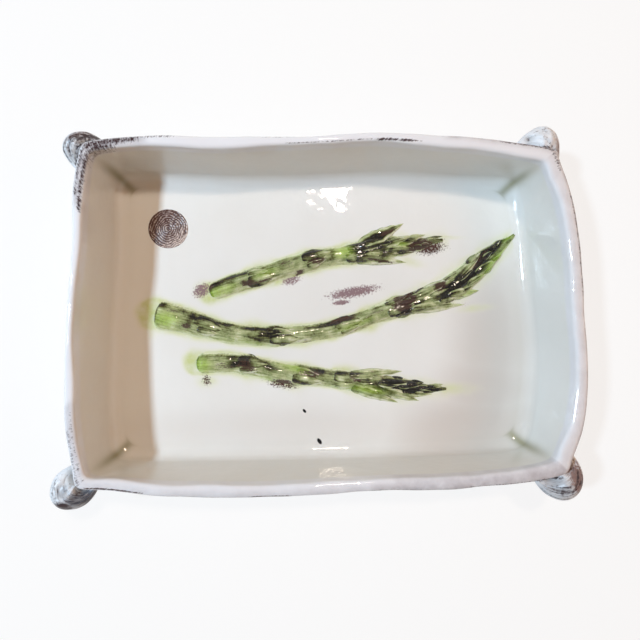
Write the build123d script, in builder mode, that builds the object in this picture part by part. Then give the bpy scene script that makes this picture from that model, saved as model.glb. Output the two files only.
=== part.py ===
from build123d import *
from math import pi, radians, sin, sqrt
import os

# A slab-built serving dish with rolled corner ears and three asparagus spears in relief.
# X runs along the dish, Y across it, Z up. The origin is the middle of the underside.

# Overall sizes over the rim, in mm
rim_length = 332.0
rim_width = 231.5
dish_height = 60.0

# Floor slab
slab_thickness = 7.0
slab_edge_round = 1.5

# Walls
wall_thickness = 7.0
lip_thickness = 8.0
lip_rise = 3.5  # rounded top of the lip above the straight part of the wall
wall_flare = 5.5  # the rim stands out past the foot along a wall
corner_tuck = 2.5  # the foot stands out past the pinched rim at a corner
wall_sections = 13  # sections along a wall, both mitres included

# Seam coils
cove_size = 5.0
coil_feather = 0.5  # thickness of a coil's worn edges

# Corners: side of the dish along X and Y, and how far the rim is pinched in along X and Y
pinch_fade = 6  # power by which a pinch dies away along a wall
corners = {
    "back_left": {"side": (-1, 1), "pinch": (8.7, 9.4)},
    "back_right": {"side": (1, 1), "pinch": (19.4, 6.7)},
    "front_right": {"side": (1, -1), "pinch": (13.3, 12.5)},
    "front_left": {"side": (-1, -1), "pinch": (6.8, 8.5)},
}

# Walls: the corners they join and their outward side, the hand-made ripple of the rim in plan
# (height, waves along the wall, start angle in degrees) and the dip of the rim between corners
walls = {
    "back": {"ends": ("back_left", "back_right"), "out": (0, 1), "ripple": (3.2, 1.1, 141), "dip": 1.5},
    "right": {"ends": ("back_right", "front_right"), "out": (1, 0), "ripple": (3.8, 0.8, -150), "dip": 2.0},
    "front": {"ends": ("front_right", "front_left"), "out": (0, -1), "ripple": (0.9, 0.9, 121), "dip": 2.0},
    "left": {"ends": ("front_left", "back_left"), "out": (-1, 0), "ripple": (2.8, 0.8, 52), "dip": 1.5},
}

# Ears: belly radius, belly place out from the rim corner, and tails along the long and short walls
ear_drop = 13.0  # belly centre below the rim
ear_tail_radius = 2.5
ear_swell = 2.6  # power by which the roll swells from its tails to its belly
ear_sections = 9  # sections along the roll, both tail ends included
ears = {
    "back_left": {"belly": 7.1, "reach": (0.7, 4.2), "long_tail": 9.2, "short_tail": 14.0},
    "back_right": {"belly": 8.9, "reach": (3.3, -1.6), "long_tail": 22.4, "short_tail": 8.0},
    "front_right": {"belly": 9.8, "reach": (8.3, 1.5), "long_tail": 16.9, "short_tail": 11.0},
    "front_left": {"belly": 9.5, "reach": (1.4, 8.0), "long_tail": 8.0, "short_tail": 10.6},
}

# Round stamp pressed into the floor: its place as shares of the half dish, and its plain rings
stamp_place = (-0.698, 0.544)
stamp_diameter = 29.0
stamp_rings = 3
stamp_groove_width = 1.2
stamp_groove_depth = 0.6

# Spears: the spine as shares of the half dish, half widths along the spine (share, mm),
# scale leaves on the stem (share, sideways place) and leaves round the bud
# (share, sideways place, turn from the spine in degrees, length, half width)
bract_length = 22.0
bract_belly = 9.0  # widest place, from the base of the leaf
bract_half_width = 5.5
bract_base_half_width = 3.3
bract_thickness = 1.4
spear_rise = 0.55  # height of a spear over its half width
bud_leaf_girth = [(0.0, 0.45), (0.35, 1.0), (0.72, 0.62), (1.0, 0.12)]  # share of length, fullness
spears = {
    "upper": {
        "spine": [(-0.518, 0.146), (-0.375, 0.216), (-0.241, 0.277), (-0.089, 0.346), (0.059, 0.385),
                  (0.229, 0.432), (0.373, 0.467), (0.518, 0.493)],
        "girth": [(0.0, 6.2), (0.15, 7.0), (0.35, 7.2), (0.55, 6.8), (0.70, 7.6), (0.85, 5.0), (1.0, 1.0)],
        "bracts": [(0.16, -2.0), (0.40, 2.5), (0.58, -2.0)],
        "bud": [(0.64, 3.5, 16.0, 40.0, 4.5), (0.62, -3.5, -14.0, 38.0, 4.0), (0.74, 2.0, 6.0, 32.0, 4.0),
                (0.76, -2.5, -7.0, 30.0, 3.8)],
    },
    "middle": {
        "spine": [(-0.747, -0.009), (-0.615, -0.044), (-0.482, -0.091), (-0.301, -0.126), (-0.109, -0.113),
                  (0.084, -0.060), (0.241, 0.022), (0.385, 0.086), (0.542, 0.173), (0.681, 0.328),
                  (0.850, 0.531)],
        "girth": [(0.0, 8.5), (0.12, 7.2), (0.30, 6.8), (0.45, 6.0), (0.60, 6.4), (0.74, 7.4), (0.87, 6.5),
                  (1.0, 1.0)],
        "bracts": [(0.10, 2.0), (0.29, -2.0), (0.46, 2.0), (0.60, -1.5)],
        "bud": [(0.66, -4.0, -10.0, 42.0, 4.4), (0.68, 4.0, 9.0, 36.0, 4.2), (0.76, -4.0, -14.0, 32.0, 4.4),
                (0.79, 3.5, 8.0, 34.0, 4.0), (0.85, -2.5, -8.0, 28.0, 3.6)],
    },
    "lower": {
        "spine": [(-0.554, -0.311), (-0.397, -0.298), (-0.241, -0.345), (-0.048, -0.385), (0.132, -0.419),
                  (0.301, -0.454), (0.531, -0.467)],
        "girth": [(0.0, 7.5), (0.14, 6.8), (0.35, 7.2), (0.55, 6.2), (0.70, 7.8), (0.85, 5.4), (1.0, 1.0)],
        "bracts": [(0.16, 2.0), (0.38, -2.0), (0.54, 2.0)],
        "bud": [(0.60, 4.0, 11.0, 40.0, 4.3), (0.62, -4.0, -10.0, 36.0, 4.5), (0.72, 3.0, 7.0, 34.0, 4.0),
                (0.74, -3.0, -8.0, 36.0, 4.0)],
    },
}

up = Vector(0, 0, 1)
half_sizes = (rim_length / 2, rim_width / 2)
inner_edge_z = dish_height - lip_rise


def rim_corner(corner):
    """Outer rim point of a corner."""
    side = corners[corner]["side"]
    pinch = corners[corner]["pinch"]
    return Vector(side[0] * (half_sizes[0] - pinch[0]), side[1] * (half_sizes[1] - pinch[1]))


def rim_point(wall, share):
    """Outer rim point of a wall: pinched in towards its corners, with a ripple between them."""
    spec = walls[wall]
    across = 0 if spec["out"][0] else 1
    first, last = spec["ends"]
    straight = rim_corner(first) + (rim_corner(last) - rim_corner(first)) * share
    reach = half_sizes[across]
    reach -= corners[first]["pinch"][across] * (1 - share) ** pinch_fade
    reach -= corners[last]["pinch"][across] * share ** pinch_fade
    height, waves, start = spec["ripple"]
    reach += height * sin(pi * share) * sin(2 * pi * waves * share + radians(start))
    outward = Vector(*spec["out"])
    return straight - outward * straight.dot(outward) + outward * reach


def foot_offset(share):
    """How far the foot of a wall stands out past its rim: tucked at corners, flared between them."""
    corner_weight = (2 * share - 1) ** 4
    return corner_tuck * corner_weight - wall_flare * (1 - corner_weight)


def section_places(wall):
    """Plane, sideways stretch, foot offset and rim dip of each section along a wall."""
    spec = walls[wall]
    for index in range(wall_sections):
        share = index / (wall_sections - 1)
        outward = Vector(*spec["out"])
        stretch = 1.0
        if index in (0, wall_sections - 1):
            outward = Vector(*corners[spec["ends"][min(index, 1)]]["side"]).normalized()
            stretch = sqrt(2)
        plane = Plane(rim_point(wall, share), x_dir=outward, z_dir=outward.cross(up))
        yield plane, stretch, foot_offset(share), spec["dip"] * sin(pi * share)


def foot_points(wall):
    """Outer foot points of a wall, corner to corner."""
    return [plane.from_local_coords((foot * stretch, 0)) for plane, stretch, foot, _ in section_places(wall)]


def loft_wall(wall):
    """A wall slab through its sections: straight faces and a rounded lip."""
    with BuildPart() as slab:
        for plane, stretch, foot, dip in section_places(wall):
            lip_z = inner_edge_z - dip
            outer_foot = (foot * stretch, slab_thickness)
            inner_foot = ((foot - wall_thickness) * stretch, slab_thickness)
            outer_lip = (0, lip_z)
            inner_lip = (-lip_thickness * stretch, lip_z)
            lip_top = (-lip_thickness * stretch / 2, lip_z + lip_rise)
            with BuildSketch(plane):
                with BuildLine():
                    Line(inner_foot, outer_foot)
                    Line(outer_foot, outer_lip)
                    ThreePointArc(outer_lip, lip_top, inner_lip)
                    Line(inner_lip, inner_foot)
                make_face()
        loft()
    return slab


def loft_coil(wall, slab):
    """A seam coil in the angle between a wall and the floor, with a thumbed hollow face."""
    with BuildPart() as coil:
        for plane, stretch, foot, dip in section_places(wall):
            foot_x = foot - wall_thickness
            climb = cove_size / (inner_edge_z - dip - slab_thickness)
            wall_x = foot_x + (-lip_thickness - foot_x) * climb
            top_z = slab_thickness + cove_size
            toe_x = foot_x - cove_size
            hollow = cove_size * (1 - sqrt(0.5))
            with BuildSketch(plane):
                with BuildLine():
                    Line((toe_x * stretch, slab_thickness), (toe_x * stretch, slab_thickness + coil_feather))
                    ThreePointArc(
                        (toe_x * stretch, slab_thickness + coil_feather),
                        ((foot_x - hollow) * stretch, slab_thickness + hollow),
                        ((wall_x - coil_feather) * stretch, top_z),
                    )
                    Polyline(
                        ((wall_x - coil_feather) * stretch, top_z),
                        ((wall_x + wall_thickness / 2) * stretch, top_z),
                        ((foot_x + wall_thickness / 2) * stretch, slab_thickness),
                        (toe_x * stretch, slab_thickness),
                    )
                make_face()
        loft()
        add(slab.part, mode=Mode.SUBTRACT)
    return coil


def roll_ear(corner):
    """A plump roll bent round the outside of a corner, tapered to a tail along each wall."""
    spec = ears[corner]
    side = corners[corner]["side"]
    ear_z = up * (dish_height - ear_drop)
    belly = rim_corner(corner) + Vector(side[0] * spec["reach"][0], side[1] * spec["reach"][1]) + ear_z
    neighbours = [wall for wall in walls if corner in walls[wall]["ends"]]
    tails = []
    for wall in neighbours:
        tail_length = spec["long_tail"] if walls[wall]["out"][1] else spec["short_tail"]
        first, last = walls[wall]["ends"]
        share = tail_length / (rim_corner(last) - rim_corner(first)).length
        tails.append(rim_point(wall, share if corner == first else 1 - share) + ear_z)
    with BuildLine() as roll:
        ThreePointArc(tails[0], belly, tails[1])
    sections = []
    for index in range(ear_sections):
        share = index / (ear_sections - 1)
        with BuildSketch(Plane(roll.line @ share, x_dir=up, z_dir=roll.line % share)) as section:
            Circle(ear_tail_radius + (spec["belly"] - ear_tail_radius) * sin(pi * share) ** ear_swell)
        sections.append(section.sketch)
    with BuildPart() as ear:
        loft(sections)
        for wall in neighbours:
            add(wall_slabs[wall].part, mode=Mode.SUBTRACT)
    return ear


def spine_line(spear):
    """The smooth line that a spear follows on the floor."""
    with BuildLine(Plane.XY.offset(slab_thickness)) as spine:
        Spline(*[(x * half_sizes[0], y * half_sizes[1]) for x, y in spears[spear]["spine"]])
    return spine.line


def half_round(plane, half_width):
    """The half-round section of a stem or leaf, flat on the floor."""
    with BuildSketch(plane) as section:
        with BuildLine():
            Line((-half_width, 0), (half_width, 0))
            ThreePointArc((half_width, 0), (0, half_width * spear_rise), (-half_width, 0))
        make_face()
    return section.sketch


def spine_plane(spine, share):
    """The plane across a spear's spine, with its y axis up."""
    along = spine % share
    return Plane(spine @ share, x_dir=up.cross(along), z_dir=along)


def loft_spear(spear, thickening=0.0):
    """A stem and its bud core, lofted along the spine and trimmed where it meets a seam coil."""
    spine = spine_line(spear)
    sections = [
        half_round(spine_plane(spine, share), half_width + thickening)
        for share, half_width in spears[spear]["girth"]
    ]
    with BuildPart() as stem:
        loft(sections)
        for coil in seam_coils.values():
            add(coil.part, mode=Mode.SUBTRACT)
    return stem


def wrap_bracts(spear, stem):
    """Pointed scale leaves pressed round a stem."""
    spine = spine_line(spear)
    thick_stem = loft_spear(spear, bract_thickness)
    with BuildPart() as bracts:
        for share, sideways in spears[spear]["bracts"]:
            along = spine % share
            start = spine @ share + up.cross(along) * sideways
            with BuildSketch(Plane(start, x_dir=along, z_dir=up)):
                with BuildLine():
                    tip = (bract_length, 0)
                    ThreePointArc((0, -bract_base_half_width), (bract_belly, -bract_half_width), tip)
                    ThreePointArc(tip, (bract_belly, bract_half_width), (0, bract_base_half_width))
                    Line((0, bract_base_half_width), (0, -bract_base_half_width))
                make_face()
            extrude(amount=dish_height)
        add(thick_stem.part, mode=Mode.INTERSECT)
        add(stem.part, mode=Mode.SUBTRACT)
    return bracts


def fan_bud(spear, stem, bracts):
    """Pointed leaves fanned out round a bud core."""
    spine = spine_line(spear)
    with BuildPart() as bud:
        for share, sideways, turn, length, half_width in spears[spear]["bud"]:
            along = spine % share
            start = spine @ share + up.cross(along) * sideways
            heading = along.rotate(Axis.Z, turn)
            sections = []
            for leaf_share, fullness in bud_leaf_girth:
                place = Plane(start + heading * (length * leaf_share), x_dir=up.cross(heading), z_dir=heading)
                sections.append(half_round(place, half_width * fullness))
            loft(sections)
        add(stem.part, mode=Mode.SUBTRACT)
        add(bracts.part, mode=Mode.SUBTRACT)
    return bud


# Floor slab, with the rings of the stamp
with BuildPart() as floor_slab:
    with BuildSketch():
        with BuildLine():
            for wall_name in walls:
                Spline(*foot_points(wall_name))
        make_face()
    extrude(amount=slab_thickness)
    fillet(floor_slab.faces().sort_by(Axis.Z)[0].edges(), radius=slab_edge_round)
    stamp_point = (stamp_place[0] * half_sizes[0], stamp_place[1] * half_sizes[1])
    with BuildSketch(Plane.XY.offset(slab_thickness)):
        with Locations(stamp_point):
            for ring in range(stamp_rings):
                ring_radius = stamp_diameter / 2 * (1 - ring / stamp_rings)
                Circle(ring_radius)
                Circle(ring_radius - stamp_groove_width, mode=Mode.SUBTRACT)
    extrude(amount=-stamp_groove_depth, mode=Mode.SUBTRACT)

# Walls, seam coils and ears
wall_slabs = {wall_name: loft_wall(wall_name) for wall_name in walls}
seam_coils = {wall_name: loft_coil(wall_name, wall_slabs[wall_name]) for wall_name in walls}
pieces = {"floor_slab": floor_slab}
for wall_name in walls:
    pieces[wall_name + "_wall"] = wall_slabs[wall_name]
    pieces[wall_name + "_seam_coil"] = seam_coils[wall_name]
for corner_name in ears:
    pieces[corner_name + "_ear"] = roll_ear(corner_name)

# Spears
for spear_name in spears:
    spear_stem = loft_spear(spear_name)
    spear_bracts = wrap_bracts(spear_name, spear_stem)
    pieces[spear_name + "_spear_stem"] = spear_stem
    pieces[spear_name + "_spear_bracts"] = spear_bracts
    pieces[spear_name + "_spear_bud"] = fan_bud(spear_name, spear_stem, spear_bracts)

os.makedirs("parts", exist_ok=True)
for piece_name, piece in pieces.items():
    piece.part.label = piece_name
    export_step(piece.part, f"parts/{piece_name}.step")
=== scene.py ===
import bpy
import numpy as np
from mathutils import Matrix, Vector


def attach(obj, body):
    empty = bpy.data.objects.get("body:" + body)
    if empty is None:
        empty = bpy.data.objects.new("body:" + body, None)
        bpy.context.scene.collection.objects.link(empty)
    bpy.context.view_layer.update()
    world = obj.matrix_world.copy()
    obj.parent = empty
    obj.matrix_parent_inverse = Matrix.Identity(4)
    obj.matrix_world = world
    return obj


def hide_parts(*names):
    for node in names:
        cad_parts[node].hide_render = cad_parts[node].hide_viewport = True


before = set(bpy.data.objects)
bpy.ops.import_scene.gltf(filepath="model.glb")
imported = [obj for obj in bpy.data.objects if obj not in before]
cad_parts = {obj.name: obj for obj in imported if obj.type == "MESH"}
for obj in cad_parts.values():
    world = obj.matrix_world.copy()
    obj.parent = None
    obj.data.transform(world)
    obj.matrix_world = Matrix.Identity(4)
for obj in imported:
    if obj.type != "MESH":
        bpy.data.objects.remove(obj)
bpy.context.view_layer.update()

# Slab-built white dish with rolled corner ears and three asparagus spears. Shapes are worked out in mm.
fullTurn = 6.283  # radians, for seeded phases


def toLinear(hexColour):
    # sRGB hex to linear RGBA
    channels = np.array([int(hexColour[i:i + 2], 16) for i in (1, 3, 5)]) / 255
    linear = np.where(channels <= 0.04045, channels / 12.92, ((channels + 0.055) / 1.055) ** 2.4)
    return (*linear.tolist(), 1.0)


def perMm(size):
    # texture scale that gives features of this size in mm on Object coordinates in metres
    return 1000 / size


def addNode(tree, kind, inputs=None, **settings):
    # a shader node with its settings; an input is a fixed value, an sRGB hex colour, or the socket or node
    # (by its first output in use) that feeds it
    node = tree.nodes.new("ShaderNode" + kind)
    for name, value in settings.items():
        setattr(node, name, value)
    for socket, value in (inputs or {}).items():
        if isinstance(value, bpy.types.Node):
            value = next(output for output in value.outputs if output.enabled)
        if isinstance(value, bpy.types.NodeSocket):
            tree.links.new(value, node.inputs[socket])
        else:
            node.inputs[socket].default_value = toLinear(value) if isinstance(value, str) else value
    return node


def emptyTree(holder):
    # the node tree of a material or world, cleared
    holder.use_nodes = True
    holder.node_tree.nodes.clear()
    return holder.node_tree


def handWave(x, y, size, seed):
    # sum of eight sines in seeded directions, wavelengths round size in mm, about -1 to 1
    rng = np.random.default_rng(seed)
    turns, phases = rng.uniform(0, fullTurn, 8), rng.uniform(0, fullTurn, 8)
    total = np.zeros(np.broadcast(x, y).shape)
    for turn, phase, stretch in zip(turns, phases, rng.uniform(0.6, 1.8, 8)):
        total += np.sin((x * np.cos(turn) + y * np.sin(turn)) * 2 * np.pi / (size * stretch) + phase)
    return total / 4


def loopWave(turn, height, low, high, seed):
    # sum of eight sines with a whole number of waves round the dish, drifting with height, about -1 to 1
    rng = np.random.default_rng(seed)
    counts, phases = rng.integers(low, high, 8), rng.uniform(0, fullTurn, 8)
    total = np.zeros(np.broadcast(turn, height).shape)
    for waves, phase, drift in zip(counts, phases, rng.uniform(-0.06, 0.06, 8)):
        total += np.sin(2 * np.pi * waves * turn + phase + drift * height)
    return total / 4


def softStep(low, high, value):
    # smooth rise from 0 at low to 1 at high
    share = np.clip((value - low) / (high - low), 0, 1)
    return share * share * (3 - 2 * share)


def softenLoop(rows, sigma):
    # Gaussian blur round closed loops, one sigma (in columns) for each row, on their Fourier terms
    waves = np.fft.fftfreq(rows.shape[1])[None, :]
    damping = np.exp(-2 * (np.pi * waves * np.asarray(sigma)[:, None]) ** 2)
    return np.fft.ifft(np.fft.fft(rows, axis=1) * damping, axis=1).real


def dabs(x, y, spots):
    # painted dabs: the strongest of soft ovals (x, y, half length, half width, turn in degrees, strength)
    total = np.zeros(np.broadcast(x, y).shape)
    for px, py, length, width, turn, strength in spots:
        c, s = np.cos(np.radians(turn)), np.sin(np.radians(turn))
        along = ((x - px) * c + (y - py) * s) / length
        across = ((y - py) * c - (x - px) * s) / width
        total = np.maximum(total, strength * np.exp(-(along ** 2 + across ** 2) ** 1.5))
    return total


def gridFaces(index):
    # quads between the neighbouring rows and columns of an array of vertex numbers
    return np.stack([index[:-1, :-1], index[:-1, 1:], index[1:, 1:], index[1:, :-1]], axis=-1).reshape(-1, 4)


def closedTube(x, y, z, values):
    # rows of points joined to a tube, closed by a pole at the middle of each end row
    rings = np.stack(np.broadcast_arrays(x, y, z), axis=-1)
    rows, columns = rings.shape[:2]
    points = np.concatenate([rings.reshape(-1, 3), rings[:1].mean(axis=1), rings[-1:].mean(axis=1)])
    index = np.arange(rows * columns).reshape(rows, columns)
    index = np.concatenate([index, index[:, :1]], axis=1)
    first, last = rows * columns, rows * columns + 1
    faces = gridFaces(index).tolist()
    faces += np.stack([index[0, 1:], index[0, :-1], np.full(columns, first)], axis=-1).tolist()
    faces += np.stack([index[-1, :-1], index[-1, 1:], np.full(columns, last)], axis=-1).tolist()
    painted = {}
    for name, value in values.items():
        value = np.broadcast_to(value, (rows, columns))
        painted[name] = np.concatenate([value.ravel(), [value[0].mean()], [value[-1].mean()]])
    return points, faces, painted


def makePiece(name, parts, material, nodes):
    # parts (points in mm, faces, values for each point) as one mesh in metres, faces turned outwards
    points, faces, values, start = [], [], {}, 0
    for partPoints, partFaces, partValues in parts:
        first, second, third = (partPoints[[f[i] for f in partFaces]] for i in range(3))
        turned = np.cross(second - first, third - first)
        if (turned * (first - partPoints.mean(axis=0))).sum() < 0:
            partFaces = [f[::-1] for f in partFaces]
        faces += [[i + start for i in f] for f in partFaces]
        points.append(partPoints)
        start += len(partPoints)
        for key, value in partValues.items():
            values.setdefault(key, []).append(value)
    mesh = bpy.data.meshes.new(name)
    mesh.from_pydata((np.concatenate(points) / 1000).tolist(), [], faces)
    mesh.polygons.foreach_set("use_smooth", np.ones(len(mesh.polygons), bool))
    for key, value in values.items():
        layer = mesh.attributes.new(key, "FLOAT", "POINT")
        layer.data.foreach_set("value", np.concatenate(value).astype(np.float32))
    mesh.materials.append(material)
    mesh.update()
    piece = bpy.data.objects.new(name, mesh)
    bpy.context.scene.collection.objects.link(piece)
    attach(piece, "root")
    if nodes:
        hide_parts(*nodes)
    print(f"{name}: {sum(len(f) - 2 for f in faces)} triangles")


# Spears: points along each spine as shares of the half dish, half widths along it (share, mm),
# scale leaves on the stem (share, sideways), bud leaves (share, sideways, turn, length, half width),
# and brown, dark and yellow-green dabs painted on it (x, y, half length, half width, turn, strength);
# some dark dabs are painted shade on the far side of the base ends
halfDish = np.array([166.0, 115.75])
floorTop = 7.0
spearRise = 0.55  # height of a stem over its half width
spinePoints = 241
spears = {
    "upper": {
        "spine": [(-0.518, 0.146), (-0.375, 0.216), (-0.241, 0.277), (-0.089, 0.346), (0.059, 0.385),
                  (0.229, 0.432), (0.373, 0.467), (0.518, 0.493)],
        "girth": [(0, 6.2), (0.15, 7), (0.35, 7.2), (0.55, 6.8), (0.7, 7.6), (0.85, 5), (1, 1)],
        "bracts": [(0.16, -2), (0.4, 2.5), (0.58, -2)],
        "bud": [(0.64, 4.5, 15, 38, 6.6), (0.62, -3.5, -14, 38, 4.8), (0.74, 2, 6, 32, 4),
                (0.76, -2.5, -7, 30, 3.8)],
        "umber": [(-58, 24, 7.5, 2.8, 4, 1), (-47, 25.5, 8, 1.2, 22, 0.8), (-32, 38, 8, 4.5, 20, 0.55),
                  (-21, 31, 5, 3, 30, 0.8), (-8, 40, 9, 2.6, 12, 0.9), (44, 62, 8, 2.4, 22, 0.9),
                  (70, 51, 13, 6, 4, 1.3), (38, 41, 12, 1.6, -8, 0.9), (-75, 26, 9, 2.2, 20, 0.5),
                  (-85.5, 20.5, 4, 2.4, 40, 0.8)],
        "inkAndShade": [(-82, 22, 9, 3, 24, 0.75), (-12, 46, 4.5, 6, -30, 0.8), (-74, 27.5, 14, 2.2, 21, 0.45),
                (24, 49, 7, 6, 30, 0.85), (38, 52, 14, 3, 20, 0.5), (40, 60, 17, 4.5, 19, 0.7),
                (56, 47, 7, 2.2, 0, 0.6), (60, 55, 6, 1.5, -8, 0.5)],
        "lime": [(-80, 16.5, 13, 3.6, 22, 1), (-45, 31, 9, 3, 20, 0.6), (11, 47, 7, 4.5, 10, 0.9),
                 (55, 53, 6, 1.6, 0, 0.9)],
    },
    "middle": {
        "spine": [(-0.752, 0.013), (-0.615, -0.036), (-0.482, -0.091), (-0.301, -0.126), (-0.109, -0.113),
                  (0.084, -0.06), (0.241, 0.022), (0.385, 0.086), (0.542, 0.173), (0.681, 0.328),
                  (0.85, 0.531)],
        "girth": [(0, 10.8), (0.06, 9.2), (0.13, 7.4), (0.3, 6.8), (0.45, 6), (0.6, 6.4), (0.74, 9),
                  (0.87, 8.8), (0.95, 4.8), (1, 1)],
        "bracts": [(0.1, 2), (0.29, -2), (0.46, 2), (0.6, -1.5)],
        "bud": [(0.66, -4, -10, 42, 4.4), (0.68, 4, 9, 36, 4.2), (0.76, -4, -14, 32, 4.4),
                (0.79, 3.5, 8, 34, 4), (0.85, -2.5, -8, 28, 3.6)],
        "umber": [(-102, -7, 4.2, 2.8, 0, 0.9), (-16, -19, 6, 2, 0, 0.6), (12, -1.5, 16, 2.8, 18, 0.9),
                  (36, 3, 8, 2, 14, 0.6), (56, 11, 9.5, 6.5, 38, 1.7), (82, 22, 6, 4, 25, 1.2),
                  (113, 43, 13, 3.4, 50, 0.7), (98, 13, 7, 2.2, 14, 0.8), (-112, 3.5, 6, 1.4, -8, 0.7)],
        "inkAndShade": [(-121, 8.5, 6, 2.2, -18, 0.7), (-98, -1, 3, 4, -30, 0.7), (-84, -3, 20, 2.2, -14, 0.4),
                (-43, -12, 10, 4.6, 28, 0.85), (-50, -9.5, 12, 1.6, -3, 0.7), (-50, -17, 12, 1.4, -14, 0.6),
                (4, -5, 14, 1.8, 20, 0.5), (62, 8, 9, 3, 20, 0.4), (96, 24, 16, 5, 40, 0.7),
                (112, 36, 12, 5, 42, 0.85), (125, 52, 13, 3, 50, 0.75)],
        "lime": [(-116, -3, 8, 6, 0, 1.1), (-60, -19.5, 18, 2, -10, 0.5), (20, -6, 16, 2, 20, 0.5),
                 (121, 35, 20, 4, 52, 1.2), (104, 16, 10, 2.5, 25, 0.6), (136, 60, 6, 2.5, 48, 0.8)],
    },
    "lower": {
        "spine": [(-0.574, -0.3), (-0.397, -0.298), (-0.241, -0.345), (-0.048, -0.385), (0.132, -0.419),
                  (0.301, -0.454), (0.531, -0.467)],
        "girth": [(0, 7.5), (0.14, 6.8), (0.35, 7.2), (0.55, 6.2), (0.7, 7.8), (0.85, 5.4), (1, 1)],
        "bracts": [(0.16, 2), (0.38, -2), (0.54, 2)],
        "bud": [(0.6, 4, 11, 40, 4.3), (0.62, -4, -10, 36, 4.5), (0.72, 3, 7, 34, 4),
                (0.74, -3, -8, 36, 4)],
        "umber": [(-59, -36.5, 8, 4.2, -18, 0.95), (-33, -49, 11, 3.2, -10, 1),
                  (-12, -41.5, 10, 3.4, -10, 0.9), (20, -46, 6, 3, 0, 0.7), (66, -52, 9, 2.2, -8, 0.5),
                  (-87, -46, 3, 4.6, 0, 0.7), (-74, -36, 8, 2.5, -4, 0.6), (40, -45, 6, 2, -6, 0.6)],
        "inkAndShade": [(-62, -34, 8, 2.6, 12, 0.8), (-42, -37, 10, 2, -18, 0.4), (56, -51, 18, 5, -6, 1.1),
                (76, -54, 10, 1.8, -8, 0.9), (32, -39, 10, 1.4, 0, 0.6), (-12, -39, 10, 2.4, -10, 0.5)],
        "lime": [(-91, -36, 7, 6, 0, 1), (-24, -38, 12, 2.4, -12, 0.9), (28, -54, 16, 3.2, -8, 0.8),
                 (-45, -46, 8, 2.4, -12, 0.6)],
    },
}


def spineOf(spec):
    # natural cubic spline through the spine points, taken at even steps of its own parameter
    knots = np.array(spec["spine"]) * halfDish
    place = np.concatenate([[0], np.cumsum(np.linalg.norm(np.diff(knots, axis=0), axis=1))])
    step, n = np.diff(place), len(place)
    system = np.eye(n)
    pull = np.zeros((n, 2))
    rows = np.arange(1, n - 1)
    system[rows, rows - 1], system[rows, rows + 1] = step[:-1], step[1:]
    system[rows, rows] = 2 * (step[:-1] + step[1:])
    slope = np.diff(knots, axis=0) / step[:, None]
    pull[1:-1] = 6 * (slope[1:] - slope[:-1])
    bend = np.linalg.solve(system, pull)
    at = np.linspace(0, place[-1], spinePoints)
    k = np.clip(np.searchsorted(place, at) - 1, 0, n - 2)
    a, b, h = (at - place[k])[:, None], (place[k + 1] - at)[:, None], step[k][:, None]
    return ((bend[k] * b ** 3 + bend[k + 1] * a ** 3) / (6 * h) + (knots[k] / h - bend[k] * h / 6) * b
            + (knots[k + 1] / h - bend[k + 1] * h / 6) * a)


for spec in spears.values():
    spec["line"] = spineOf(spec)
    along = np.gradient(spec["line"], axis=0)
    spec["along"] = along / np.linalg.norm(along, axis=1)[:, None]
    spec["left"] = np.stack([-spec["along"][:, 1], spec["along"][:, 0]], axis=1)
    spec["share"] = np.linspace(0, 1, len(spec["line"]))
    girth = np.array(spec["girth"])
    width = np.interp(spec["share"], girth[:, 0], girth[:, 1])
    kernel = np.hanning(21) / np.hanning(21).sum()
    spec["width"] = np.convolve(np.pad(width, 10, mode="edge"), kernel, mode="valid")
    spec["length"] = np.linalg.norm(np.diff(spec["line"], axis=0), axis=1).sum()


def nearestOnSpine(spec, x, y):
    # number of the nearest spine point and the signed distance to its left, for any points of the plan
    flat = np.stack([np.ravel(x), np.ravel(y)], axis=1)
    gap = ((flat[:, None, :] - spec["line"][None, ::2]) ** 2).sum(axis=2)
    near = gap.argmin(axis=1) * 2
    offset = flat - spec["line"][near]
    sideways = (offset * spec["left"][near]).sum(axis=1)
    distance = np.linalg.norm(offset, axis=1)
    return near.reshape(np.shape(x)), np.where(sideways < 0, -distance, distance).reshape(np.shape(x))


def stemTop(spec, x, y):
    # height of the half-round stem over the floor: rise * sqrt(w^2 - d^2)
    near, away = nearestOnSpine(spec, x, y)
    w = spec["width"][near]
    return spearRise * np.sqrt(np.maximum(w ** 2 - away ** 2, 0))


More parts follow.
